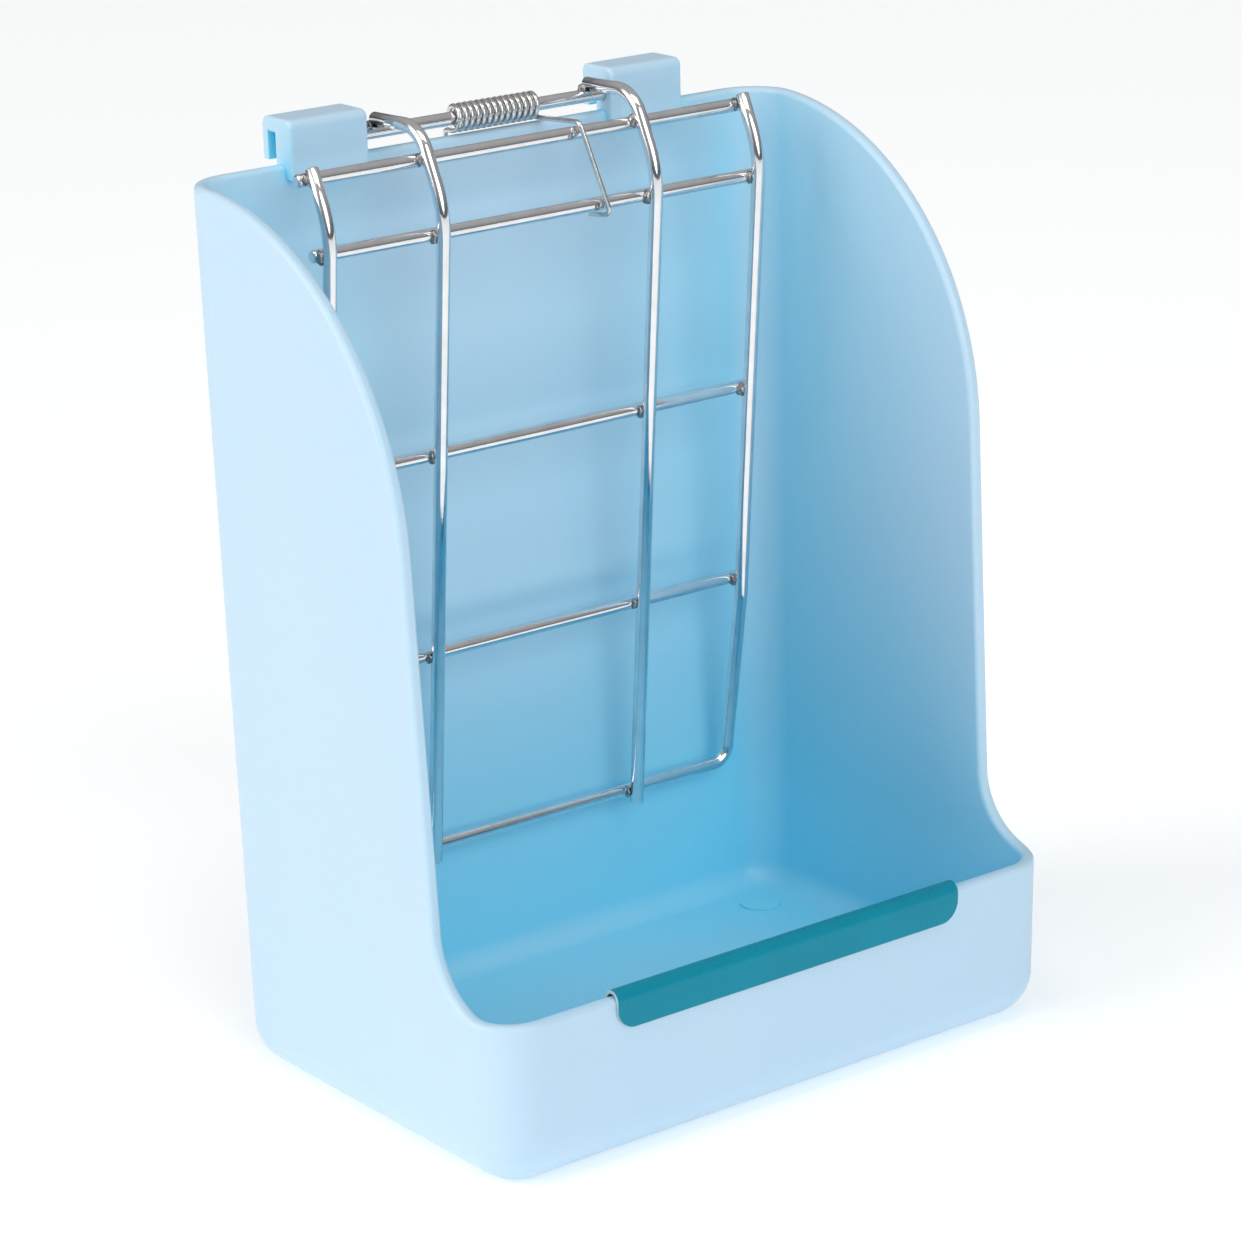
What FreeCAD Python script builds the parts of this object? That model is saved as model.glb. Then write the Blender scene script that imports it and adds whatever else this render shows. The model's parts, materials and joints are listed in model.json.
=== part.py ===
import FreeCAD, Part
import math
import os

import Sketcher

# Wall-hung hay feeder with a trough: one moulded tub with two cage hooks, a sprung wire grille
# that swings on a hinge bar between the hooks, and a sheet guard clipped over the trough's lip.
# Frame: +X to the feeder's right, +Y to its back, +Z up; origin at the centre of its base.
# Lengths are in millimetres and angles in degrees.

SIZES = [
    # tub
    ("body_width", 170.0, "tub, outside, at the top"),
    ("body_depth", 113.2, "tub, outside, at the top"),
    ("back_height", 212.4, "top of the back wall"),
    ("wall", 3.2, "moulded wall"),
    ("draft", 0.75, "taper of the walls towards the base"),
    ("floor_level", 5.1, "trough floor"),
    ("corner_round", 12.5, "upright outer corners"),
    ("base_round", 11.0, "outer edge of the base"),
    ("inner_round", 6.0, "inner edge of the trough floor"),
    ("rim_round", 1.2, "edges of the rim"),
    ("lip_height", 40.3, "top of the trough's front wall"),
    ("cheek_arc", 74.0, "upper arc of a side wall"),
    ("cheek_arc_y", 47.5, "where that arc starts, behind the centre"),
    ("cheek_lean", 2.8, "forward lean of a side wall's front edge"),
    ("throat_arc", 17.0, "arc from a side wall into the lip"),
    ("floor_mark", 10.6, "round mark moulded on the floor"),
    ("floor_mark_x", 66.0, "mark, from the middle"),
    ("floor_mark_y", 37.0, "mark, behind the middle"),
    ("floor_mark_rise", 0.5, "mark, above the floor"),
    # cage hooks, moulded on the back wall
    ("hook_inner_x", 35.2, "inner side of a hook"),
    ("hook_width", 21.5, "hook, along X"),
    ("hook_front_y", 51.0, "front face of a hook"),
    ("hook_root", 6.0, "thickness of the upright"),
    ("hook_slot", 3.2, "slot for the cage wire"),
    ("hook_tongue", 2.6, "thickness of the tongue behind the slot"),
    ("hook_rise", 10.4, "hook above the back wall"),
    ("hook_roof", 3.6, "thickness over the slot"),
    ("hook_drop", 10.0, "length of the tongue"),
    ("hook_foot", 14.0, "upright, down the back of the wall"),
    ("hook_round", 2.0, "top edges of a hook"),
    ("hook_side_round", 0.9, "side edges of a hook"),
    # hinge bar
    ("axle_y", 54.8, "hinge axis"),
    ("axle_z", 216.4, "hinge axis"),
    ("axle_length", 86.0, "hinge bar"),
    ("axle_fit", 0.06, "radial clearance in the hooks"),
    ("axle_play", 1.0, "end play between the hooks, both ends together"),
    # grille, in its own frame: its foot at the lower end of the inner rods, its Z up the rods
    ("wire", 3.3, "diameter of the grille wire"),
    ("weld", 0.3, "depth to which crossing wires are fused"),
    ("foot_y", 42.1, "foot of the grille"),
    ("foot_z", 40.1, "foot of the grille"),
    ("grille_lean", 4.83, "forward lean of the rods"),
    ("bend_height", 162.6, "rods bend back here"),
    ("bend_angle", 30.5, "how far they bend back"),
    ("bend_round", 24.0, "radius of that bend"),
    ("crook_round", 9.0, "radius of the inner rods' top bend"),
    ("crook_run", 6.9, "corner of that bend, beyond the top cross bar"),
    ("inner_rod_x", 30.8, "inner rods, from the middle"),
    ("outer_leg_x", 62.0, "outer legs, from the middle"),
    ("outer_leg_tip", 14.4, "outer legs, beyond the bend"),
    ("outer_corner", 4.5, "lower corners of the outer frame"),
    ("jog_height", 6.0, "lower end of the legs' step behind the rods, above the bottom bar"),
    ("jog_run", 40.0, "height of that step"),
    ("jog_round", 20.0, "radius of its two bends"),
    ("bottom_bar", 2.6, "bottom bar above the foot"),
    ("bar_pitch", 50.1, "between the lower cross bars"),
    ("upper_bar", 156.2, "cross bar under the bend"),
    ("top_bar_run", 12.9, "top cross bar, beyond the bend"),
    ("bar_length", 130.0, "cross bars"),
    ("bar_end_round", 0.7, "rounded ends of the bars"),
    # torsion spring
    ("spring_wire", 1.2, "spring wire"),
    ("coil_radius", 2.85, "coil, to the middle of its wire"),
    ("coil_pitch", 1.72, "between turns"),
    ("coil_turns", 14.0, "turns"),
    ("coil_left_x", -9.1, "left end of the coil"),
    ("leg_round", 1.6, "bends of the moving leg"),
    ("shoulder_round", 1.0, "bend of the fixed leg over the back wall"),
    ("fixed_leg_drop", 19.0, "fixed leg, down the back wall"),
    ("hook_reach_x", 17.3, "where the moving leg meets the upper cross bar"),
    ("crossing_x", 12.8, "where the moving leg crosses the top bar"),
    ("hook_end_x", 15.0, "end of its hook under that bar"),
    ("leg_over", 0.7, "moving leg's corner over the top bar, clear of touching"),
    ("leg_ahead", 0.9, "its corner in front of the upper cross bar, clear of touching"),
    ("leg_under", 0.4, "its hook under that bar, clear of touching"),
    # lip guard
    ("guard_length", 101.0, "guard, along X"),
    ("guard_depth", 9.1, "height of its flanges"),
    ("guard_sheet", 0.8, "sheet thickness"),
    ("guard_gap", 0.05, "between sheet and wall"),
    ("guard_corner", 5.0, "lower corners of its flanges"),
    ("guard_crown", 0.8, "centre of its fold, below the top of the lip"),
]

doc = FreeCAD.newDocument("hay_feeder")
sheet = doc.addObject("Spreadsheet::Sheet", "sizes")
for row, (alias, value, note) in enumerate(SIZES, start=1):
    sheet.set(f"A{row}", alias.replace("_", " "))
    sheet.set(f"B{row}", str(value))
    sheet.setAlias(f"B{row}", alias)
    sheet.set(f"C{row}", note)
doc.recompute()


def formula(text):
    """An expression whose names in braces are read from the sheet."""
    return text.replace("{", "sizes.").replace("}", "")


def value(text):
    """What such an expression comes to."""
    found = sheet.evalExpression(formula(text))
    return float(getattr(found, "Value", found))


def bind(thing, **properties):
    """Drives properties by expressions; a double underscore in a name stands for a dot."""
    for name, text in properties.items():
        thing.setExpression(name.replace("__", "."), formula(text))


def vector(x, y, z=0.0):
    return FreeCAD.Vector(x, y, z)


def turned_about_x(angle):
    return FreeCAD.Placement(vector(0, 0, 0), FreeCAD.Rotation(vector(1, 0, 0), value(angle)))


# ---------------------------------------------------------------- sketches and features


def new_body(label):
    made = doc.addObject("PartDesign::Body", label)
    made.Label = label
    return made


def sketch_on(owner, name, role, lift="0"):
    """An empty sketch on one of the body's origin planes, lifted along the plane's normal."""
    sketch = owner.newObject("Sketcher::SketchObject", name)
    plane = next(item for item in owner.Origin.OriginFeatures if item.Role == role)
    sketch.AttachmentSupport = [(plane, "")]
    sketch.MapMode = "FlatFace"
    bind(sketch, AttachmentOffset__Base__z=lift)
    return sketch


def measure(sketch, kind, *where, to):
    """A dimension that an expression drives."""
    number = value(to)
    if kind == "Angle":
        number = math.radians(number)
    index = sketch.addConstraint(Sketcher.Constraint(kind, *where, number))
    sketch.setExpression(f"Constraints[{index}]", formula(to))


def relate(sketch, kind, *where):
    sketch.addConstraint(Sketcher.Constraint(kind, *where))


def place_point(sketch, geometry, end, x, y):
    """Fixes a point of a sketch's geometry from the sketch's origin."""
    measure(sketch, "DistanceX", -1, 1, geometry, end, to=x)
    measure(sketch, "DistanceY", -1, 1, geometry, end, to=y)


def draw_line(sketch, start, end):
    return sketch.addGeometry(Part.LineSegment(vector(*start), vector(*end)), False)


def draw_arc(sketch, centre, radius, first, last):
    """An arc drawn anticlockwise between two angles."""
    circle = Part.Circle(vector(*centre), vector(0, 0, 1), radius)
    return sketch.addGeometry(Part.ArcOfCircle(circle, math.radians(first), math.radians(last)), False)


def draw_outline(sketch, corners):
    """A closed polygon; each corner is a pair of expressions."""
    spots = [(value(x), value(y)) for x, y in corners]
    for start, end in zip(spots, spots[1:] + spots[:1]):
        draw_line(sketch, start, end)
    for here, (x, y) in enumerate(corners):
        relate(sketch, "Coincident", here, 2, (here + 1) % len(corners), 1)
        place_point(sketch, here, 1, x, y)


def draw_rectangle(sketch, width, depth):
    """A rectangle centred on the sketch's origin."""
    signs = [("-", "-"), ("", "-"), ("", ""), ("-", "")]
    draw_outline(sketch, [(f"{along}({width}) / 2", f"{across}({depth}) / 2") for along, across in signs])


def draw_circle(sketch, radius, x="0", y="0"):
    circle = Part.Circle(vector(value(x), value(y)), vector(0, 0, 1), value(radius))
    index = sketch.addGeometry(circle, False)
    measure(sketch, "Radius", index, to=radius)
    place_point(sketch, index, 3, x, y)


def extrude(owner, kind, sketch, **properties):
    """A pad or pocket of a sketch."""
    feature = owner.newObject(f"PartDesign::{kind}", f"{sketch.Name}_{kind.lower()}")
    feature.Profile = sketch
    for name in ("SideType", "Reversed"):
        if name in properties:
            setattr(feature, name, properties.pop(name))
    bind(feature, **properties)
    doc.recompute()
    return feature


def round_edges(owner, feature, name, radius, chosen):
    """Rounds the edges of the body's last feature that the test chooses."""
    edges = [f"Edge{number}" for number, edge in enumerate(feature.Shape.Edges, start=1) if chosen(edge)]
    rounded = owner.newObject("PartDesign::Fillet", name)
    rounded.Base = (feature, edges)
    bind(rounded, Radius=radius)
    doc.recompute()
    return rounded


def middle(edge):
    return edge.valueAt((edge.FirstParameter + edge.LastParameter) / 2)


def heading(edge):
    return edge.tangentAt((edge.FirstParameter + edge.LastParameter) / 2)


def is_flat_at(edge, height):
    box = edge.BoundBox
    return abs(box.ZMin - height) < 0.001 and abs(box.ZMax - height) < 0.001


# ---------------------------------------------------------------- wires


def bent_wire(corners, radii):
    """A wire of straight runs through the corners, joined by tangent arcs."""
    edges = []
    start = corners[0]
    for before, corner, after, radius in zip(corners, corners[1:], corners[2:], radii):
        back = (before - corner).normalize()
        ahead = (after - corner).normalize()
        half_turn = (math.pi - back.getAngle(ahead)) / 2
        reach = radius * math.tan(half_turn)
        inward = (back + ahead).normalize()
        crown = corner + inward * (radius / math.cos(half_turn) - radius)
        arc = Part.Arc(corner + back * reach, crown, corner + ahead * reach)
        edges.append(Part.LineSegment(start, corner + back * reach).toShape())
        edges.append(arc.toShape())
        start = corner + ahead * reach
    edges.append(Part.LineSegment(start, corners[-1]).toShape())
    return Part.Wire(edges)


def sweep_wire(label, corners, radii, diameter):
    """A round wire bent along the corners, as a sweep of a circle."""
    spine = doc.addObject("Part::Feature", f"{label}_spine")
    spine.Shape = bent_wire(corners, radii)
    section = doc.addObject("Part::Circle", f"{label}_section")
    bind(section, Radius=f"{{{diameter}}} / 2")
    along = (corners[1] - corners[0]).normalize()
    section.Placement = FreeCAD.Placement(corners[0], FreeCAD.Rotation(vector(0, 0, 1), along))
    swept = doc.addObject("Part::Sweep", label)
    swept.Sections = [section]
    swept.Spine = (spine, [])
    swept.Solid = True
    swept.Label = label
    return swept


# ---------------------------------------------------------------- tub


def draft_faces(tub, feature, name, inward, chosen):
    """Tapers the chosen upright faces about the top of the tub."""
    faces = list(enumerate(feature.Shape.Faces, start=1))
    top = value("{back_height}")
    tapered = tub.newObject("PartDesign::Draft", name)
    tapered.Base = (feature, [f"Face{number}" for number, face in faces if chosen(face)])
    level = next(number for number, face in faces if abs(face.BoundBox.ZMin - top) < 0.001)
    tapered.NeutralPlane = (feature, [f"Face{level}"])
    tapered.Reversed = inward
    bind(tapered, Angle="{draft}")
    doc.recompute()
    return tapered


def is_upright(face):
    return abs(face.normalAt(0, 0).z) < 0.001


def is_inside(spot):
    """Whether a point lies inside the middle surface of the tub's walls."""
    shrink = math.tan(math.radians(value("{draft}"))) * (value("{back_height}") - spot.z)
    half_width = value("{body_width} / 2 - {wall} / 2") - shrink
    half_depth = value("{body_depth} / 2 - {wall} / 2") - shrink
    return abs(spot.x) < half_width and abs(spot.y) < half_depth


def tub_block(tub):
    """Solid tapered block."""
    outside = sketch_on(tub, "outside", "XY_Plane", "{back_height}")
    draw_rectangle(outside, "{body_width}", "{body_depth}")
    block = extrude(tub, "Pad", outside, Reversed=True, Length="{back_height}")
    return draft_faces(tub, block, "outer_draft", True, is_upright)


def tub_cavity(tub):
    """The hollow, down to the trough floor, tapered like the outside."""
    inside = sketch_on(tub, "inside", "XY_Plane", "{back_height}")
    draw_rectangle(inside, "{body_width} - 2 * {wall}", "{body_depth} - 2 * {wall}")
    hollow = extrude(tub, "Pocket", inside, Length="{back_height} - {floor_level}")
    return draft_faces(
        tub, hollow, "inner_draft", False, lambda face: is_upright(face) and is_inside(face.CenterOfMass)
    )


def tub_rounds(tub, feature):
    """Rounds the upright corners, then the edges of the base and of the floor."""

    def is_upright_edge(edge):
        return abs(heading(edge).z) > 0.9

    inner = round_edges(
        tub, feature, "inner_upright_rounds", "{corner_round} - {wall}",
        lambda edge: is_upright_edge(edge) and is_inside(middle(edge)),
    )
    outer = round_edges(
        tub, inner, "outer_upright_rounds", "{corner_round}",
        lambda edge: is_upright_edge(edge) and not is_inside(middle(edge)),
    )
    base = round_edges(tub, outer, "base_rounds", "{base_round}", lambda edge: is_flat_at(edge, 0))
    floor_level = value("{floor_level}")
    return round_edges(
        tub, base, "floor_rounds", "{inner_round}",
        lambda edge: is_flat_at(edge, floor_level),
    )


def draw_opening(sketch):
    """Side view of what is cut away: over the lip, up the side walls' front edge, to their top."""
    big, small = value("{cheek_arc}"), value("{throat_arc}")
    lip, top = value("{lip_height}"), value("{back_height}")
    lean = math.radians(value("{cheek_lean}"))
    front, ceiling = value("-{body_depth}"), top + value("{wall} * 5")
    centre = (value("{cheek_arc_y}"), top - big)
    upper = (centre[0] - big * math.cos(lean), centre[1] + big * math.sin(lean))
    lower_z = lip + small - small * math.sin(lean)
    lower = (upper[0] - (upper[1] - lower_z) * math.tan(lean), lower_z)
    throat = (lower[0] - small * math.cos(lean), lip + small)
    degrees = math.degrees(lean)
    over_lip = draw_line(sketch, (front, lip), (throat[0], lip))
    throat_arc = draw_arc(sketch, throat, small, 270, 360 - degrees)
    edge = draw_line(sketch, lower, upper)
    cheek_arc = draw_arc(sketch, centre, big, 90, 180 - degrees)
    rise = draw_line(sketch, (centre[0], top), (centre[0], ceiling))
    ahead = draw_line(sketch, (centre[0], ceiling), (front, ceiling))
    down = draw_line(sketch, (front, ceiling), (front, lip))
    relate(sketch, "Tangent", over_lip, 2, throat_arc, 1)
    relate(sketch, "Tangent", throat_arc, 2, edge, 1)
    relate(sketch, "Tangent", edge, 2, cheek_arc, 2)
    relate(sketch, "Coincident", cheek_arc, 1, rise, 1)
    relate(sketch, "Coincident", rise, 2, ahead, 1)
    relate(sketch, "Coincident", ahead, 2, down, 1)
    relate(sketch, "Coincident", down, 2, over_lip, 1)
    for line in (over_lip, ahead):
        relate(sketch, "Horizontal", line)
    for line in (rise, down):
        relate(sketch, "Vertical", line)
    measure(sketch, "Radius", throat_arc, to="{throat_arc}")
    measure(sketch, "Radius", cheek_arc, to="{cheek_arc}")
    place_point(sketch, cheek_arc, 3, "{cheek_arc_y}", "{back_height} - {cheek_arc}")
    measure(sketch, "DistanceX", -1, 1, rise, 1, to="{cheek_arc_y}")
    measure(sketch, "Angle", edge, to="90 - {cheek_lean}")
    place_point(sketch, over_lip, 1, "-{body_depth}", "{lip_height}")
    measure(sketch, "DistanceY", -1, 1, ahead, 1, to="{back_height} + {wall} * 5")


def tub_opening(tub):
    """Cuts the open front, then rounds both edges of the whole rim."""
    opening = sketch_on(tub, "opening", "YZ_Plane")
    draw_opening(opening)
    cut = extrude(tub, "Pocket", opening, SideType="Symmetric", Length="{body_width} * 2")
    top, wall = value("{back_height}"), value("{wall}")

    def is_rim(edge):
        if abs(heading(edge).x) > 0.99 and edge.Length < 2 * wall:
            return False
        spot = middle(edge)
        on_cut = Part.Vertex(vector(0, spot.y, spot.z)).distToShape(opening.Shape)[0] < 0.001
        return on_cut or is_flat_at(edge, top)

    return round_edges(tub, cut, "rim_rounds", "{rim_round}", is_rim)


def tub_floor_marks(tub):
    """Round marks moulded near the two back corners of the trough floor."""
    marks = sketch_on(tub, "floor_marks", "XY_Plane", "{floor_level}")
    for side in ("-", ""):
        draw_circle(marks, "{floor_mark} / 2", side + "{floor_mark_x}", "{floor_mark_y}")
    return extrude(tub, "Pad", marks, Length="{floor_mark_rise}")


def tub_hooks(tub):
    """Two cage hooks on the back wall, drilled from inside for the hinge bar."""
    upright_back = "{hook_front_y} + {hook_root}"
    slot_back = upright_back + " + {hook_slot}"
    tongue_back = slot_back + " + {hook_tongue}"
    crown = "{back_height} + {hook_rise}"
    seat = "{back_height} - {wall}"
    heel = "{back_height} - {hook_foot}"
    profile = sketch_on(tub, "hook_profile", "YZ_Plane", "{hook_inner_x}")
    draw_outline(
        profile,
        [
            ("{hook_front_y}", seat),
            ("{hook_front_y}", crown),
            (tongue_back, crown),
            (tongue_back, crown + " - {hook_drop}"),
            (slot_back, crown + " - {hook_drop}"),
            (slot_back, crown + " - {hook_roof}"),
            (upright_back, crown + " - {hook_roof}"),
            (upright_back, heel + " + {hook_root}"),
            ("{body_depth} / 2 - {wall} / 2", heel),
            ("{body_depth} / 2 - {wall} / 2", seat),
        ],
    )
    hook = extrude(tub, "Pad", profile, Length="{hook_width}")
    pair = tub.newObject("PartDesign::Mirrored", "hook_pair")
    pair.Originals = [hook]
    pair.MirrorPlane = (next(item for item in tub.Origin.OriginFeatures if item.Role == "YZ_Plane"), [""])
    tub.Tip = pair
    doc.recompute()
    return pair


def tub_hook_rounds(tub, pair):
    """Softens the hooks' top edges, then the other edges that stand above the back wall."""
    crown = value("{back_height} + {hook_rise}")
    above_wall = value("{back_height} + {hook_side_round} / 2")
    top = round_edges(
        tub, pair, "hook_crown_rounds", "{hook_round}",
        lambda edge: is_flat_at(edge, crown) and abs(heading(edge).x) > 0.99,
    )
    return round_edges(
        tub, top, "hook_side_rounds", "{hook_side_round}",
        lambda edge: edge.BoundBox.ZMin > above_wall and abs(heading(edge).x) < 0.01,
    )


def tub_bar_holes(tub):
    """Blind holes in the facing sides of the hooks, in line with each other."""
    bore = sketch_on(tub, "bar_bore", "YZ_Plane")
    draw_circle(bore, "{wire} / 2 + {axle_fit}", "{axle_y}", "{axle_z}")
    return extrude(tub, "Pocket", bore, SideType="Symmetric", Length="{axle_length} + {axle_play}")


def make_tub():
    tub = new_body("tub")
    tub_block(tub)
    cavity = tub_cavity(tub)
    tub_rounds(tub, cavity)
    tub_opening(tub)
    tub_floor_marks(tub)
    pair = tub_hooks(tub)
    tub_hook_rounds(tub, pair)
    tub_bar_holes(tub)
    return tub


# ---------------------------------------------------------------- lip guard


def make_lip_guard():
    """Folded sheet over the lip; modelled upright, then leaned with the front wall."""
    guard = new_body("lip_guard")
    outer = "{wall} / 2 + {guard_gap} + {guard_sheet}"
    inner = "{wall} / 2 + {guard_gap}"
    hem = "-({guard_depth} - (" + outer + "))"
    fold = sketch_on(guard, "fold", "YZ_Plane")
    out, low, into = value(outer), value(hem), value(inner)
    draw_line(fold, (-out, low), (-out, 0))
    draw_arc(fold, (0, 0), out, 0, 180)
    draw_line(fold, (out, 0), (out, low))
    draw_line(fold, (out, low), (into, low))
    draw_line(fold, (into, low), (into, 0))
    draw_arc(fold, (0, 0), into, 0, 180)
    draw_line(fold, (-into, 0), (-into, low))
    draw_line(fold, (-into, low), (-out, low))
    relate(fold, "Coincident", 0, 2, 1, 2)
    relate(fold, "Coincident", 1, 1, 2, 1)
    for here in range(2, 8):
        relate(fold, "Coincident", here, 2, (here + 1) % 8, 1)
    for line, x in ((0, f"-({outer})"), (2, outer), (4, inner), (6, f"-({inner})")):
        upper, lower = (2, 1) if line in (0, 4) else (1, 2)
        place_point(fold, line, upper, x, "0")
        place_point(fold, line, lower, x, hem)
    for arc in (1, 5):
        measure(fold, "DistanceY", -1, 1, arc, 3, to="0")
    sheet_pad = extrude(guard, "Pad", fold, SideType="Symmetric", Length="{guard_length}")
    round_edges(
        guard, sheet_pad, "hem_corners", "{guard_corner}",
        lambda edge: abs(heading(edge).y) > 0.99 and middle(edge).z < value(hem) + 0.001,
    )
    lean = "tan({draft} * 1deg)"
    rim_y = "(-{body_depth} / 2 + {wall} / 2 + ({back_height} - {lip_height}) * " + lean + ")"
    guard.Placement = turned_about_x("{draft}")
    bind(
        guard,
        Placement__Base__y=rim_y,
        Placement__Base__z="{lip_height} - {guard_crown}",
        Placement__Rotation__Angle="{draft} * 1deg",
    )
    return guard


# ---------------------------------------------------------------- grille


def set_on_grille(thing, y="0", z="0"):
    """Leans a piece with the grille and puts its origin at (y, z) of the grille's frame."""
    lean = "{grille_lean} * 1deg"
    thing.Placement = turned_about_x("{grille_lean}")
    bind(
        thing,
        Placement__Base__y=f"{{foot_y}} + ({y}) * cos({lean}) - ({z}) * sin({lean})",
        Placement__Base__z=f"{{foot_z}} + ({y}) * sin({lean}) + ({z}) * cos({lean})",
        Placement__Rotation__Angle=lean,
    )


def from_grille(y, z):
    """A point of the grille's frame, as (y, z) of the feeder's."""
    lean = math.radians(value("{grille_lean}"))
    return (
        value("{foot_y}") + y * math.cos(lean) - z * math.sin(lean),
        value("{foot_z}") + y * math.sin(lean) + z * math.cos(lean),
    )


def into_grille(y, z):
    """A point of the feeder's frame, as (y, z) of the grille's."""
    lean = math.radians(value("{grille_lean}"))
    y, z = y - value("{foot_y}"), z - value("{foot_z}")
    return y * math.cos(lean) + z * math.sin(lean), z * math.cos(lean) - y * math.sin(lean)


def past_bend(run):
    """The (y, z) of a point on a rod's bent top, in the grille's frame."""
    angle = math.radians(value("{bend_angle}"))
    return run * math.sin(angle), value("{bend_height}") + run * math.cos(angle)


def make_bar(label, length, y, z, on_grille=True):
    """A straight round bar along X with rounded ends."""
    bar = new_body(label)
    section = sketch_on(bar, f"{label}_section", "YZ_Plane")
    draw_circle(section, "{wire} / 2")
    rod = extrude(bar, "Pad", section, SideType="Symmetric", Length=length)
    round_edges(bar, rod, f"{label}_ends", "{bar_end_round}", lambda edge: abs(heading(edge).x) < 0.01)
    if on_grille:
        set_on_grille(bar, y, z)
    else:
        bind(bar, Placement__Base__y=y, Placement__Base__z=z)
    return bar


def make_cross_bars():
    """Three bars behind the upright wires and one behind their bent tops, numbered from the top."""
    pitch = "{wire} - {weld}"
    angle = "{bend_angle} * 1deg"
    top_y = f"{{top_bar_run}} * sin({angle}) + ({pitch}) * cos({angle})"
    top_z = f"{{bend_height}} + {{top_bar_run}} * cos({angle}) - ({pitch}) * sin({angle})"
    rows = [
        (top_y, top_z),
        (pitch, "{upper_bar}"),
        (pitch, "{bottom_bar} + 2 * {bar_pitch}"),
        (pitch, "{bottom_bar} + {bar_pitch}"),
    ]
    return [
        make_bar(f"cross_bar_{number}", "{bar_length}", y, z) for number, (y, z) in enumerate(rows, start=1)
    ]


def make_outer_frame():
    """One wire: two upright legs that bend back at the top, joined by the bottom bar behind the rods."""
    half, step = value("{outer_leg_x}"), value("{wire} - {weld}")
    bar = value("{bottom_bar}")
    jog = bar + value("{jog_height}")
    tip_y, tip_z = past_bend(value("{outer_leg_tip}"))
    leg = [
        (tip_y, tip_z),
        (0, value("{bend_height}")),
        (0, jog + value("{jog_run}")),
        (step, jog),
        (step, bar),
    ]
    corners = [vector(-half, y, z) for y, z in leg] + [vector(half, y, z) for y, z in reversed(leg)]
    bend, jog_bend, corner = value("{bend_round}"), value("{jog_round}"), value("{outer_corner}")
    radii = [bend, jog_bend, jog_bend, corner, corner, jog_bend, jog_bend, bend]
    frame = sweep_wire("outer_frame", corners, radii, "wire")
    set_on_grille(frame)
    return frame


def make_inner_rod(label, side):
    """An upright rod whose top crooks back over the top cross bar and is welded to the hinge bar."""
    tip = into_grille(value("{axle_y}"), value("{axle_z} + {wire} - {weld}"))
    crook = past_bend(value("{top_bar_run} + {crook_run}"))
    x = side * value("{inner_rod_x}")
    corners = [vector(x, *spot) for spot in ((0, 0), (0, value("{bend_height}")), crook, tip)]
    rod = sweep_wire(label, corners, [value("{bend_round}"), value("{crook_round}")], "wire")
    set_on_grille(rod)
    return rod


# ---------------------------------------------------------------- torsion spring


def top_bar_centre():
    """The (y, z) of the top cross bar's axis, in the feeder's frame."""
    angle = math.radians(value("{bend_angle}"))
    pitch = value("{wire} - {weld}")
    y, z = past_bend(value("{top_bar_run}"))
    return from_grille(y + pitch * math.cos(angle), z - pitch * math.sin(angle))


def spring_coil(left):
    """Short arcs along the coil's helix, from its left end at the bottom of the hinge bar."""
    pitch, radius, turns = value("{coil_pitch}"), value("{coil_radius}"), value("{coil_turns}")
    arcs_per_turn = 8

    def on_helix(step):
        turn = step / arcs_per_turn
        angle = 2 * math.pi * turn
        return left + vector(pitch * turn, -radius * math.sin(angle), radius * (1 - math.cos(angle)))

    steps = range(round(turns * arcs_per_turn))
    return [Part.Arc(on_helix(step), on_helix(step + 0.5), on_helix(step + 1)).toShape() for step in steps]


def fixed_leg(left, slope):
    """Corners of the leg that grips the back wall, up from its foot to the coil."""
    behind_wall = value("{body_depth} / 2 + {guard_gap} + {spring_wire} / 2")
    shoulder = left + slope * ((behind_wall - left.y) / slope.y)
    drop = value("{fixed_leg_drop}")
    forward = drop * math.tan(math.radians(value("{draft}")))
    return [shoulder + vector(0, -forward, -drop), shoulder, left]


def moving_leg(right, slope):
    """Corners of the leg that runs over the top cross bar and hooks under the next one."""
    thin = value("{spring_wire}")
    touching = value("({wire} + {spring_wire}) / 2")
    top_y, top_z = top_bar_centre()
    bar_y, bar_z = from_grille(value("{wire} - {weld}"), value("{upper_bar}"))
    over = top_z + touching + value("{leg_over}")
    ahead = bar_y - touching - value("{leg_ahead}")
    under = bar_z - touching - value("{leg_under}")
    crossing_x, reach_x = value("{crossing_x}"), value("{hook_reach_x}")
    return [
        right,
        right + slope * (2 * thin),
        vector(crossing_x, top_y - 2 * thin, over),
        vector(reach_x, ahead, under),
        vector(value("{hook_end_x}"), bar_y + touching, under),
    ]


def make_torsion_spring():
    """Coil round the hinge bar; one leg grips the back wall, the other holds the grille shut."""
    radius, pitch = value("{coil_radius}"), value("{coil_pitch}")
    left = vector(value("{coil_left_x}"), value("{axle_y}"), value("{axle_z}") - radius)
    right = left + vector(pitch * value("{coil_turns}"), 0, 0)
    slope = vector(pitch, -2 * math.pi * radius, 0).normalize()
    fixed, moving = fixed_leg(left, slope), moving_leg(right, slope)
    run = bent_wire(fixed, [value("{shoulder_round}")]).Edges + spring_coil(left)
    run += bent_wire(moving, [value("{leg_round}")] * 3).Edges
    ring = Part.Wire(Part.makeCircle(value("{spring_wire}") / 2, fixed[0], fixed[1] - fixed[0]))
    spring = doc.addObject("Part::Feature", "torsion_spring")
    spring.Shape = Part.Wire(run).makePipeShell([ring], True, False)
    spring.Label = "torsion_spring"
    return spring


# ---------------------------------------------------------------- assembly


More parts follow.
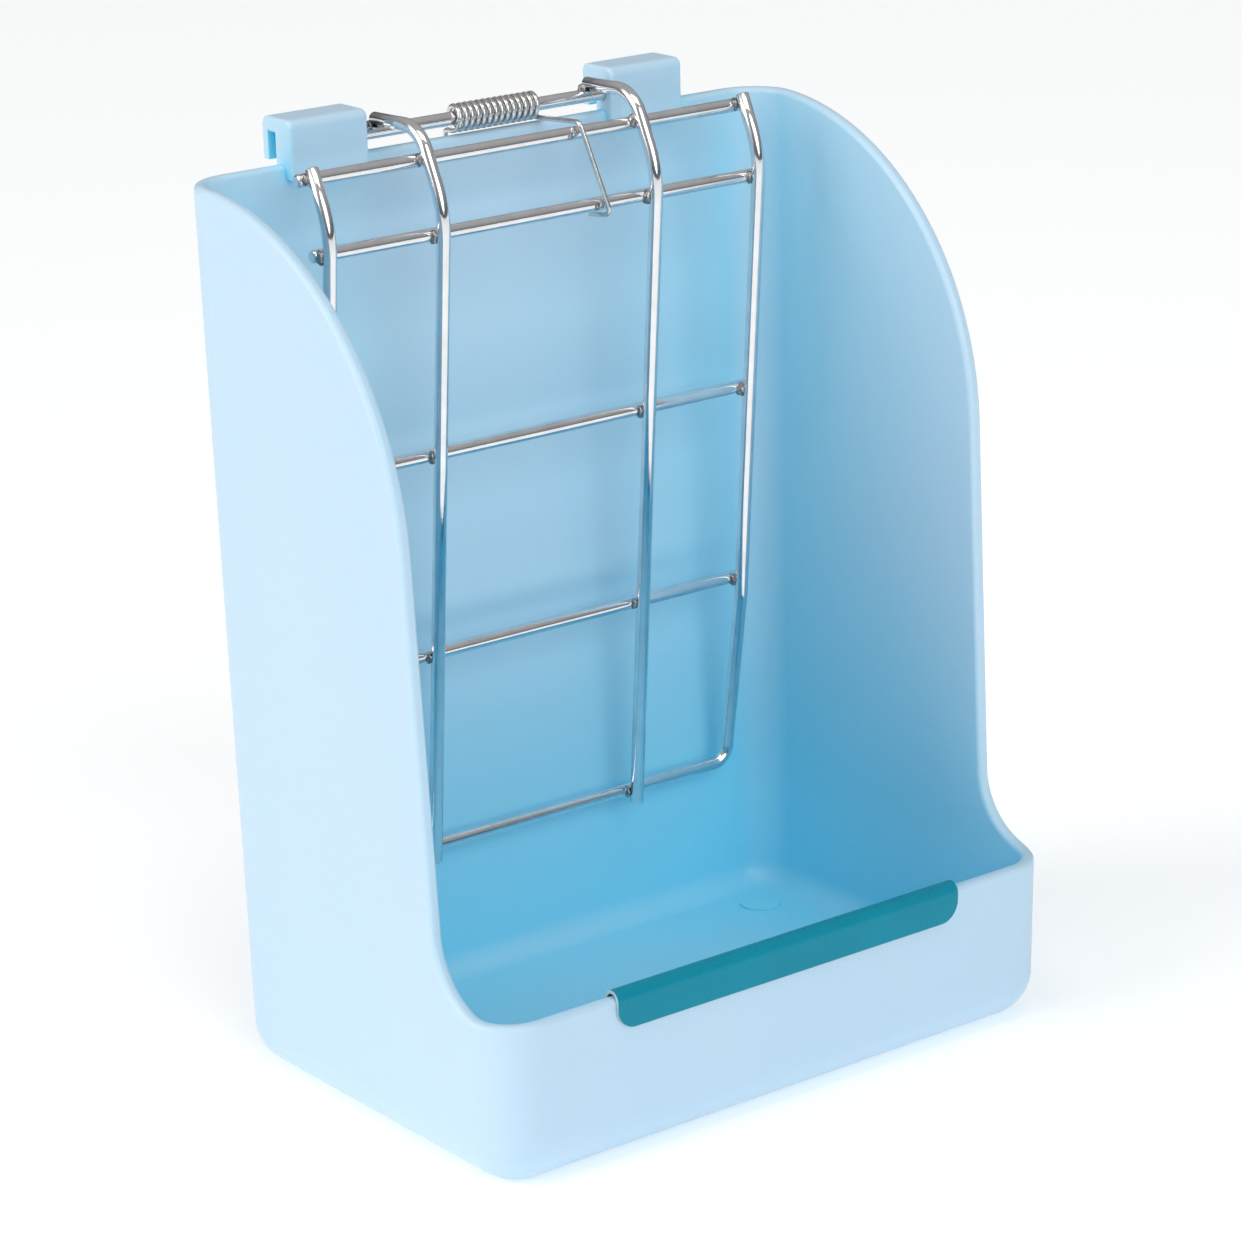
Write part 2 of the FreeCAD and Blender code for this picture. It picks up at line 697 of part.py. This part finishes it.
def check(parts):
    """Stops if any object failed, or any sub-part isn't one good solid."""
    doc.recompute()
    for item in doc.Objects:
        if "Invalid" in item.State or "Error" in item.State:
            raise RuntimeError(f"{item.Label} failed: {item.State}")
    for part in parts:
        shape = part.Shape
        if shape.isNull() or not shape.isValid() or len(shape.Solids) != 1:
            raise RuntimeError(f"{part.Label} isn't one valid solid")
        print(f"{part.Label:16s} {shape.Volume:10.1f} mm3  faces {len(shape.Faces)}")


def main():
    parts = [make_tub(), make_lip_guard()]
    parts.append(make_bar("hinge_bar", "{axle_length}", "{axle_y}", "{axle_z}", on_grille=False))
    parts += make_cross_bars()
    parts.append(make_outer_frame())
    for side, name in ((-1, "left"), (1, "right")):
        parts.append(make_inner_rod(f"inner_rod_{name}", side))
    parts.append(make_torsion_spring())
    check(parts)
    os.makedirs("parts", exist_ok=True)
    for part in parts:
        part.Shape.exportStep(os.path.join("parts", f"{part.Label}.step"))


main()
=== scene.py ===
import json
import math
import random

import bmesh
import bpy
from mathutils import Matrix, Vector, noise


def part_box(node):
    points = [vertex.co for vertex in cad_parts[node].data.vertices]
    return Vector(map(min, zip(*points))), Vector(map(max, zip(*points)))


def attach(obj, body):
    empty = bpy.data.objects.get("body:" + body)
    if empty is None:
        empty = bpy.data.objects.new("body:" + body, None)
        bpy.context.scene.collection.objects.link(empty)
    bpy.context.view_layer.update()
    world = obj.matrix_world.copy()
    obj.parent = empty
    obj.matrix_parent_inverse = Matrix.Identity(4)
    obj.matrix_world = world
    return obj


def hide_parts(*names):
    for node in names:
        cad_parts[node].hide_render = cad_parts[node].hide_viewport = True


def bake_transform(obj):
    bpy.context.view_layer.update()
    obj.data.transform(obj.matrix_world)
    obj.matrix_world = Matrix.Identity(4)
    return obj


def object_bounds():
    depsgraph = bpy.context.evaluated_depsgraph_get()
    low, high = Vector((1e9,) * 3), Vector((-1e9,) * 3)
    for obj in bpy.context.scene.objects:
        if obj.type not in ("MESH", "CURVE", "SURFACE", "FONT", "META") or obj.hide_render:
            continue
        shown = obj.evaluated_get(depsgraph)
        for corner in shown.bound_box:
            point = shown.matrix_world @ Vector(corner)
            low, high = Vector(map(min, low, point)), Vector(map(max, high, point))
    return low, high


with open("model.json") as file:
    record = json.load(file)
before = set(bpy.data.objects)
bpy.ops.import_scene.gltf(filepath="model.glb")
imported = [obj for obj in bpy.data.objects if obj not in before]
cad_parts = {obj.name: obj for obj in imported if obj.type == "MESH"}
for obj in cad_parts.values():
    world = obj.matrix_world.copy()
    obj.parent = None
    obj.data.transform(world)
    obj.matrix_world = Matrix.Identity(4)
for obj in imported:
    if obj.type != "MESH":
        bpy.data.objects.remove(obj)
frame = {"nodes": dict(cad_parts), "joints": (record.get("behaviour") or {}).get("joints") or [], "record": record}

# Looks of the wall-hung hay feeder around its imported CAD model, in metres and in the same frame:
# +X to the feeder's right, +Y to its back, +Z up, origin at the centre of its base.

MM = 0.001
WIRE_RADIUS = 1.65 * MM
WIRE_PITCH = 3.0 * MM  # between the axes of two welded wires
GRILLE_FOOT = Vector((0, 42.1 * MM, 40.1 * MM))  # middle of the line through the rods' lower ends
GRILLE_LEAN = math.radians(4.83)  # forward lean of the upright wires
BEND_HEIGHT = 162.6 * MM  # above the foot, where their tops bend back
BEND_ANGLE = math.radians(30.5)
BEND_ROUND = 24 * MM
SPRING_RADIUS = 0.6 * MM  # of the spring's wire

cad_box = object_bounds()
hinge = Vector(frame["joints"][0]["pos_m"])


def centre_of(node):
    low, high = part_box(node)
    return (low + high) / 2


# ---------------------------------------------------------------- camera, floor and light


def set_camera():
    """Long lens to the feeder's left front, a little above it."""
    azimuth, elevation, roll = (math.radians(angle) for angle in (-37.39, 17.89, -1.43))
    target = Vector((0, 0, 117.1 * MM))
    distance, slide_right, slide_up = 978.1 * MM, -3.91 * MM, -12.12 * MM
    back = Vector(
        (
            math.sin(azimuth) * math.cos(elevation),
            -math.cos(azimuth) * math.cos(elevation),
            math.sin(elevation),
        )
    )
    right = Vector((math.cos(azimuth), math.sin(azimuth), 0))
    up = back.cross(right)
    across = right * math.cos(roll) + up * math.sin(roll)
    upright = up * math.cos(roll) - right * math.sin(roll)
    lens = bpy.data.cameras.new("camera")
    lens.lens = 122.1
    lens.sensor_width = 36
    lens.clip_start = 0.05
    lens.clip_end = 50
    camera = bpy.data.objects.new("camera", lens)
    bpy.context.scene.collection.objects.link(camera)
    turn = Matrix((across, upright, back)).transposed().to_4x4()
    place = target + back * distance + right * slide_right + up * slide_up
    camera.matrix_world = Matrix.Translation(place) @ turn
    bpy.context.scene.camera = camera


def add_light(name, kind, azimuth, elevation, power, distance=1.0, **settings):
    """A light that shines on the feeder from a direction in degrees, counted as for the camera."""
    light = bpy.data.lights.new(name, kind)
    light.energy = power
    for key, setting in settings.items():
        setattr(light, key, setting)
    a, e = math.radians(azimuth), math.radians(elevation)
    towards = Vector((math.sin(a) * math.cos(e), -math.cos(a) * math.cos(e), math.sin(e)))
    lamp = bpy.data.objects.new(name, light)
    bpy.context.scene.collection.objects.link(lamp)
    lamp.matrix_world = (
        Matrix.Translation(Vector((0, 0, 0.11)) + towards * distance)
        @ (-towards).to_track_quat("-Z", "Y").to_matrix().to_4x4()
    )


def set_light():
    """Soft studio: a low warm key from the left rear, a cool front fill, two panels and a pale sky."""
    add_light("key", "SUN", -105, 24, 1.12, angle=math.radians(40), color=(1.0, 0.945, 0.90))
    add_light("fill", "SUN", -8, 27, 1.12, angle=math.radians(45), color=(0.86, 0.97, 1.0))
    add_light("left_panel", "AREA", -104, 25, 1.5, 0.9, shape="RECTANGLE", size=0.8, size_y=1.0)
    add_light("top_panel", "AREA", -20, 75, 2.0, 1.0, shape="RECTANGLE", size=0.9, size_y=0.4)
    world = bpy.data.worlds.new("studio")
    bpy.context.scene.world = world
    world.use_nodes = True
    nodes, links = world.node_tree.nodes, world.node_tree.links
    spot = nodes.new("ShaderNodeTexCoord")
    split = nodes.new("ShaderNodeSeparateXYZ")
    ramp = nodes.new("ShaderNodeValToRGB")
    links.new(spot.outputs["Generated"], split.inputs[0])
    links.new(split.outputs["Z"], ramp.inputs["Fac"])
    links.new(ramp.outputs["Color"], nodes["Background"].inputs["Color"])
    stops = ramp.color_ramp.elements
    stops[0].position, stops[0].color = 0.0, (0.16, 0.17, 0.19, 1)
    stops[1].position, stops[1].color = 0.75, (1.0, 1.0, 1.0, 1)
    low_sky = stops.new(0.22)
    low_sky.color = (0.62, 0.64, 0.67, 1)
    nodes["Background"].inputs["Strength"].default_value = 0.42
    bpy.context.scene.view_settings.view_transform = "Standard"


def add_floor():
    """A plain white floor under the base, glowing a little so that it stays pale in the corners."""
    half = 8.0
    mesh = bpy.data.meshes.new("floor")
    level = cad_box[0].z
    corners = [(-half, -half, level), (half, -half, level), (half, half, level), (-half, half, level)]
    mesh.from_pydata(corners, [], [(0, 1, 2, 3)])
    floor = bpy.data.objects.new("floor", mesh)
    bpy.context.scene.collection.objects.link(floor)
    material, shader, _ = new_material("floor_paint")
    shader.inputs["Base Color"].default_value = (0.93, 0.935, 0.94, 1)
    shader.inputs["Roughness"].default_value = 0.9
    shader.inputs["Specular IOR Level"].default_value = 0.1
    shader.inputs["Emission Color"].default_value = (1, 1, 1, 1)
    shader.inputs["Emission Strength"].default_value = 0.3
    mesh.materials.append(material)


# ---------------------------------------------------------------- materials


def new_material(name):
    material = bpy.data.materials.new(name)
    material.use_nodes = True
    return material, material.node_tree.nodes["Principled BSDF"], material.node_tree


def add_node(tree, kind, inputs=(), **settings):
    """A node with its settings; inputs pairs a socket's name with a value or another node's output."""
    node = tree.nodes.new("ShaderNode" + kind)
    for key, setting in settings.items():
        setattr(node, key, setting)
    for socket, source in dict(inputs).items():
        if isinstance(source, bpy.types.NodeSocket):
            tree.links.new(source, node.inputs[socket])
        else:
            node.inputs[socket].default_value = source
    return node


def noise_of(tree, size, detail=3.0, stretch=(1, 1, 1)):
    """Noise whose features are about this many metres across, in the object's own space."""
    spot = add_node(tree, "TexCoord").outputs["Object"]
    scaled = add_node(tree, "Mapping", {"Vector": spot, "Scale": stretch}).outputs["Vector"]
    pattern = add_node(tree, "TexNoise", {"Vector": scaled, "Scale": 1 / size, "Detail": detail})
    return pattern.outputs["Fac"]


def spread(tree, source, low, high):
    """Maps the middle of a noise's range onto low..high."""
    settings = {"Value": source, "From Min": 0.3, "From Max": 0.7, "To Min": low, "To Max": high}
    return add_node(tree, "MapRange", settings).outputs["Result"]


def tint(tree, source, first, second):
    """A colour between two, chosen by a noise."""
    blend = add_node(tree, "Mix", data_type="RGBA")
    tree.links.new(spread(tree, source, 0.0, 1.0), blend.inputs["Factor"])
    blend.inputs["A"].default_value = (*first, 1)
    blend.inputs["B"].default_value = (*second, 1)
    return blend.outputs["Result"]


def raise_bumps(tree, shader, layers):
    """Stacks bump layers, each (noise, height in metres), on the shader."""
    below = None
    for source, height in layers:
        inputs = {"Height": source, "Distance": height, "Strength": 1.0}
        if below:
            inputs["Normal"] = below
        below = add_node(tree, "Bump", inputs).outputs["Normal"]
    tree.links.new(below, shader.inputs["Normal"])


def moulded_plastic():
    """Translucent pale blue plastic with fine mould grain. Where walls face each other, in corners and creases,
    ambient occlusion turns it a deeper, stronger blue: painted shade and painted bounce light.
    """
    material, shader, tree = new_material("moulded_plastic")
    flow = noise_of(tree, 60 * MM, 2.0, (1, 1, 0.5))
    grain = noise_of(tree, 0.7 * MM, 2.0)
    waves = noise_of(tree, 22 * MM, 1.0, (1, 1, 0.6))
    pale = tint(tree, flow, (0.515, 0.680, 0.815), (0.500, 0.673, 0.810))
    # Painted shade: the occlusion mixes the deep blue (A) into corners, creases and between walls, standing in for
    # shade and bounced light there.
    painted_shade_ao = add_node(tree, "AmbientOcclusion", {"Distance": 110 * MM}, samples=8, only_local=True)
    share = {"Value": painted_shade_ao.outputs["AO"], "From Min": 0.08, "From Max": 0.96}
    factor = add_node(tree, "MapRange", share).outputs["Result"]
    body = add_node(tree, "Mix", {"Factor": factor}, data_type="RGBA")
    body.inputs["A"].default_value = (0.18, 0.77, 0.97, 1)
    tree.links.new(pale, body.inputs["B"])
    tree.links.new(body.outputs["Result"], shader.inputs["Base Color"])
    tree.links.new(spread(tree, grain, 0.32, 0.42), shader.inputs["Roughness"])
    raise_bumps(tree, shader, [(waves, 0.10 * MM), (grain, 0.012 * MM)])
    shader.inputs["Specular IOR Level"].default_value = 0.5
    shader.inputs["Subsurface Weight"].default_value = 0.25
    shader.inputs["Subsurface Radius"].default_value = (0.5, 0.8, 1.0)
    shader.inputs["Subsurface Scale"].default_value = 3.0 * MM
    return material


def chrome_wire():
    """Bright plated steel with faint drawing lines and a few cloudy spots."""
    material, shader, tree = new_material("chrome_wire")
    cloud = noise_of(tree, 6 * MM)
    fine = noise_of(tree, 0.35 * MM, 2.0)
    plating = tint(tree, cloud, (0.86, 0.855, 0.865), (0.76, 0.755, 0.765))
    tree.links.new(plating, shader.inputs["Base Color"])
    tree.links.new(spread(tree, cloud, 0.07, 0.13), shader.inputs["Roughness"])
    raise_bumps(tree, shader, [(fine, 0.006 * MM)])
    shader.inputs["Metallic"].default_value = 1.0
    return material


def spring_steel():
    """Drawn spring wire, a little darker and duller than the plating."""
    material, shader, tree = new_material("spring_steel")
    cloud = noise_of(tree, 2.5 * MM)
    fine = noise_of(tree, 0.2 * MM, 2.0)
    steel = tint(tree, cloud, (0.74, 0.725, 0.71), (0.60, 0.59, 0.585))
    tree.links.new(steel, shader.inputs["Base Color"])
    tree.links.new(spread(tree, fine, 0.15, 0.27), shader.inputs["Roughness"])
    raise_bumps(tree, shader, [(fine, 0.006 * MM)])
    shader.inputs["Metallic"].default_value = 1.0
    return material


def weld_metal():
    """Scorched, lumpy metal of the spot welds under the plating, darkened further as painted shade of the gap
    where the wires meet.
    """
    material, shader, tree = new_material("weld_metal")
    patch = noise_of(tree, 0.9 * MM)
    fine = noise_of(tree, 0.25 * MM)
    # Partly scorch, partly painted shade: the darker colour stands in for the shadowed gap at each joint.
    scorch_and_painted_shade = tint(tree, patch, (0.45, 0.43, 0.42), (0.16, 0.15, 0.15))
    tree.links.new(scorch_and_painted_shade, shader.inputs["Base Color"])
    tree.links.new(spread(tree, patch, 0.18, 0.38), shader.inputs["Roughness"])
    raise_bumps(tree, shader, [(patch, 0.10 * MM), (fine, 0.03 * MM)])
    shader.inputs["Metallic"].default_value = 1.0
    return material


def teal_enamel():
    """Teal coating on sheet steel, with bare metal showing along the cut edges."""
    material, shader, tree = new_material("teal_enamel")
    peel = noise_of(tree, 1.1 * MM, 2.0)
    cloud = noise_of(tree, 18 * MM)
    coat = tint(tree, cloud, (0.003, 0.250, 0.350), (0.004, 0.228, 0.325))
    facing = add_node(tree, "TexCoord").outputs["Normal"]
    split = add_node(tree, "SeparateXYZ", {"Vector": facing})
    sideways = add_node(tree, "Math", {0: split.outputs["X"]}, operation="ABSOLUTE").outputs[0]
    edge = add_node(tree, "Math", {0: sideways, 1: 0.6}, operation="GREATER_THAN").outputs[0]
    blend = add_node(tree, "Mix", {"Factor": edge, "A": coat}, data_type="RGBA")
    blend.inputs["B"].default_value = (0.42, 0.55, 0.60, 1)
    tree.links.new(blend.outputs["Result"], shader.inputs["Base Color"])
    tree.links.new(spread(tree, peel, 0.26, 0.36), shader.inputs["Roughness"])
    raise_bumps(tree, shader, [(peel, 0.004 * MM)])
    shader.inputs["Specular IOR Level"].default_value = 0.15
    shader.inputs["Coat Weight"].default_value = 0.05
    shader.inputs["Coat Roughness"].default_value = 0.2
    return material


def dress(node, material):
    """Gives a CAD node a material."""
    thing = frame["nodes"][node]
    if not thing.material_slots:
        thing.data.materials.append(material)
    for place in thing.material_slots:
        place.material = material


# ---------------------------------------------------------------- bent wires


def rounded_path(corners, radii, steps=8):
    """Points along straight runs through the corners, joined by arcs of the given radii."""
    points = [corners[0]]
    for before, corner, after, radius in zip(corners, corners[1:], corners[2:], radii):
        back, ahead = (before - corner).normalized(), (after - corner).normalized()
        half_turn = (math.pi - back.angle(ahead)) / 2
        reach = radius * math.tan(half_turn)
        centre = corner + (back + ahead).normalized() * (radius / math.cos(half_turn))
        first, last = corner + back * reach - centre, corner + ahead * reach - centre
        for step in range(steps + 1):
            points.append(centre + first.slerp(last, step / steps).normalized() * radius)
    return points + [corners[-1]]


def tube(name, path, radius, sides=20):
    """A round wire along a path, its two ends cut off square with a small chamfer."""
    shell = bmesh.new()
    count = len(path)
    tangents = [(path[min(i + 1, count - 1)] - path[max(i - 1, 0)]).normalized() for i in range(count)]
    side = tangents[0].orthogonal().normalized()
    stations = []
    for spot, along in zip(path, tangents):
        side = (side - along * side.dot(along)).normalized()
        stations.append((spot, side, along.cross(side)))
    end_length, end_share = 0.18 * radius, 0.78
    first, last = stations[0], stations[-1]
    stations = [(*station, 1.0) for station in stations]
    stations.insert(0, (first[0] - tangents[0] * end_length, first[1], first[2], end_share))
    stations.append((last[0] + tangents[-1] * end_length, last[1], last[2], end_share))
    angles = [2 * math.pi * i / sides for i in range(sides)]
    rings = []
    for spot, across, up, share in stations:
        spokes = [across * math.cos(angle) + up * math.sin(angle) for angle in angles]
        rings.append([shell.verts.new(spot + spoke * radius * share) for spoke in spokes])
    for lower, upper in zip(rings, rings[1:]):
        for i in range(sides):
            j = (i + 1) % sides
            shell.faces.new((lower[i], lower[j], upper[j], upper[i]))
    shell.faces.new(list(reversed(rings[0])))
    shell.faces.new(rings[-1])
    bmesh.ops.recalc_face_normals(shell, faces=shell.faces)
    for face in shell.faces:
        face.smooth = len(face.verts) == 4
    return finished_mesh(name, shell)


def finished_mesh(name, shell):
    mesh = bpy.data.meshes.new(name)
    shell.to_mesh(mesh)
    shell.free()
    thing = bpy.data.objects.new(name, mesh)
    bpy.context.scene.collection.objects.link(thing)
    return thing


def on_grille(x, y, z):
    """A point of the grille's own frame, whose Z runs up the rods, in the feeder's frame."""
    lean = Matrix.Rotation(GRILLE_LEAN, 3, "X")
    return GRILLE_FOOT + lean @ Vector((x, y, z))


def past_bend(x, run):
    """A point on a wire's bent top, a run beyond the bend."""
    return on_grille(x, run * math.sin(BEND_ANGLE), BEND_HEIGHT + run * math.cos(BEND_ANGLE))


def add_wire(node, corners, radii, chrome):
    """One bent wire of the grille, smooth along its bends, in place of its CAD node."""
    wire = tube(node + "_wire", rounded_path(corners, radii, steps=12), WIRE_RADIUS, sides=32)
    wire.data.materials.append(chrome)
    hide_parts(node)
    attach(wire, "grille")


def add_inner_rods(chrome):
    """Upright rods whose tops crook back over the hinge bar."""
    crook_run, crook_round = 19.8 * MM, 9 * MM
    for node in ("inner_rod_left", "inner_rod_right"):
        x = centre_of(node).x
        tip = Vector((x, hinge.y, hinge.z + WIRE_PITCH))
        corners = [on_grille(x, 0, 0), on_grille(x, 0, BEND_HEIGHT), past_bend(x, crook_run), tip]
        add_wire(node, corners, [BEND_ROUND, crook_round], chrome)


def add_outer_frame(chrome):
    """One wire: two legs that bend back at the top, joined by the bottom bar behind the rods."""
    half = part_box("outer_frame")[1].x - WIRE_RADIUS
    tip_run, bar, step_low, step_high = 14.4 * MM, 2.6 * MM, 8.6 * MM, 48.6 * MM

    def leg(x):
        return [
            past_bend(x, tip_run),
            on_grille(x, 0, BEND_HEIGHT),
            on_grille(x, 0, step_high),
            on_grille(x, WIRE_PITCH, step_low),
            on_grille(x, WIRE_PITCH, bar),
        ]

    step_round, corner = 20 * MM, 4.5 * MM
    radii = [BEND_ROUND, step_round, step_round, corner]
    add_wire("outer_frame", leg(-half) + leg(half)[::-1], radii + radii[::-1], chrome)


# ---------------------------------------------------------------- torsion spring


def spring_path():
    """Up the leg behind the back wall, round the hinge bar, and over the top bar to hook under the next."""
    coil_radius, pitch, turns, per_turn = 2.85 * MM, 1.72 * MM, 14, 32
    left = Vector((-9.1 * MM, hinge.y, hinge.z - coil_radius))
    right = left + Vector((pitch * turns, 0, 0))
    slope = Vector((pitch, -2 * math.pi * coil_radius, 0)).normalized()

    behind_wall, drop, draft = 57.25 * MM, 19 * MM, math.radians(0.75)
    shoulder = left + slope * ((behind_wall - left.y) / slope.y)
    foot = shoulder - Vector((0, drop * math.tan(draft), drop))
    shoulder_round, leg_round = 1.0 * MM, 1.6 * MM
    fixed = rounded_path([foot, shoulder, left], [shoulder_round])

    coil = []
    for step in range(1, turns * per_turn):
        turn = step / per_turn
        angle = 2 * math.pi * turn
        ring = Vector((pitch * turn, -coil_radius * math.sin(angle), coil_radius * (1 - math.cos(angle))))
        coil.append(left + ring)

    touching = WIRE_RADIUS + SPRING_RADIUS
    top, under = centre_of("cross_bar_1"), centre_of("cross_bar_2")
    crossing_x, reach_x, hook_end_x = 12.8 * MM, 17.3 * MM, 15.0 * MM
    lead, clear_above, clear_ahead, clear_below = 2.4 * MM, 0.7 * MM, 0.9 * MM, 0.4 * MM
    hook_z = under.z - touching - clear_below
    moving = [
        right,
        right + slope * lead,
        Vector((crossing_x, top.y - lead, top.z + touching + clear_above)),
        Vector((reach_x, under.y - touching - clear_ahead, hook_z)),
        Vector((hook_end_x, under.y + touching, hook_z)),
    ]
    return fixed + coil + rounded_path(moving, [leg_round] * 3)


def add_spring():
    """The spring's true helix, from the still leg through the coil to the leg that hooks under the grille's bar,
    built once as a still tube that does not twist with the grille.
    """
    spring = tube("spring_wire", spring_path(), SPRING_RADIUS)
    spring.data.materials.append(spring_steel())
    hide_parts("torsion_spring")
    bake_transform(spring)


# ---------------------------------------------------------------- weld nuggets


def weld_spots():
    """Where two wires touch: the middle of each contact, in the feeder's frame."""
    rods = [centre_of("inner_rod_left").x, centre_of("inner_rod_right").x]
    frame_low, frame_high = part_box("outer_frame")
    legs = [frame_low.x + WIRE_RADIUS, frame_high.x - WIRE_RADIUS]
    ahead = Vector((0, -math.cos(GRILLE_LEAN), -math.sin(GRILLE_LEAN))) * WIRE_PITCH / 2
    bent = GRILLE_LEAN - BEND_ANGLE
    ahead_of_bend = Vector((0, -math.cos(bent), -math.sin(bent))) * WIRE_PITCH / 2
    spots = [(centre_of("cross_bar_1") + ahead_of_bend, x) for x in rods + legs]
    for bar in ("cross_bar_2", "cross_bar_3", "cross_bar_4"):
        spots += [(centre_of(bar) + ahead, x) for x in rods + legs]
    low_bar = Vector((0, bottom_bar_depth(), frame_low.z + WIRE_RADIUS))
    spots += [(low_bar + ahead, x) for x in rods]
    spots += [(hinge + Vector((0, 0, WIRE_PITCH / 2)), x) for x in rods]
    return [Vector((x, spot.y, spot.z)) for spot, x in spots]


def bottom_bar_depth():
    """How far back the outer frame's bottom bar lies, from the lowest points of its mesh."""
    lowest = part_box("outer_frame")[0].z + 0.2 * MM
    depths = [vert.co.y for vert in frame["nodes"]["outer_frame"].data.vertices if vert.co.z < lowest]
    return (min(depths) + max(depths)) / 2


def add_nugget(shell, spot, size, draw):
    """A lump of squeezed-out metal, rough and uneven, half sunk in the wires."""
    made = bmesh.ops.create_icosphere(shell, subdivisions=3, radius=1.0)["verts"]
    seed = Vector((draw.uniform(0, 50), draw.uniform(0, 50), draw.uniform(0, 50)))
    for vert in made:
        lump = 1 + 0.28 * noise.noise(vert.co * 1.3 + seed) + 0.10 * noise.noise(vert.co * 3.5 + seed)
        vert.co = spot + Vector(a * b for a, b in zip(vert.co * lump, size))


def add_welds():
    """All nuggets of the grille, and the two small stops beside the spring's leg."""
    draw = random.Random(4)
    shell = bmesh.new()
    for spot in weld_spots():
        shift = Vector((-WIRE_RADIUS, draw.uniform(-0.15, 0.15) * MM, draw.uniform(-0.2, 0.2) * MM))
        size = Vector((0.95, 1.15, 1.6)) * MM * draw.uniform(0.88, 1.12)
        add_nugget(shell, spot + shift, size, draw)
    stop_size = Vector((0.75, 0.6, 0.9)) * MM
    for bar, x in (("cross_bar_1", 10.6 * MM), ("cross_bar_2", 14.4 * MM)):
        spot = centre_of(bar) + Vector((x, -WIRE_RADIUS * 0.9, -0.2 * MM))
        add_nugget(shell, spot, stop_size, draw)
    for face in shell.faces:
        face.smooth = True
    welds = finished_mesh("weld_nuggets", shell)
    welds.data.materials.append(weld_metal())
    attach(welds, "grille")


# ---------------------------------------------------------------- the whole


def main():
    set_camera()
    add_floor()
    set_light()
    dress("tub", moulded_plastic())
    dress("lip_guard", teal_enamel())
    chrome = chrome_wire()
    for node in frame["record"]["behaviour"]["bodies"]["grille"]:
        dress(node, chrome)
    add_inner_rods(chrome)
    add_outer_frame(chrome)
    add_spring()
    add_welds()


main()
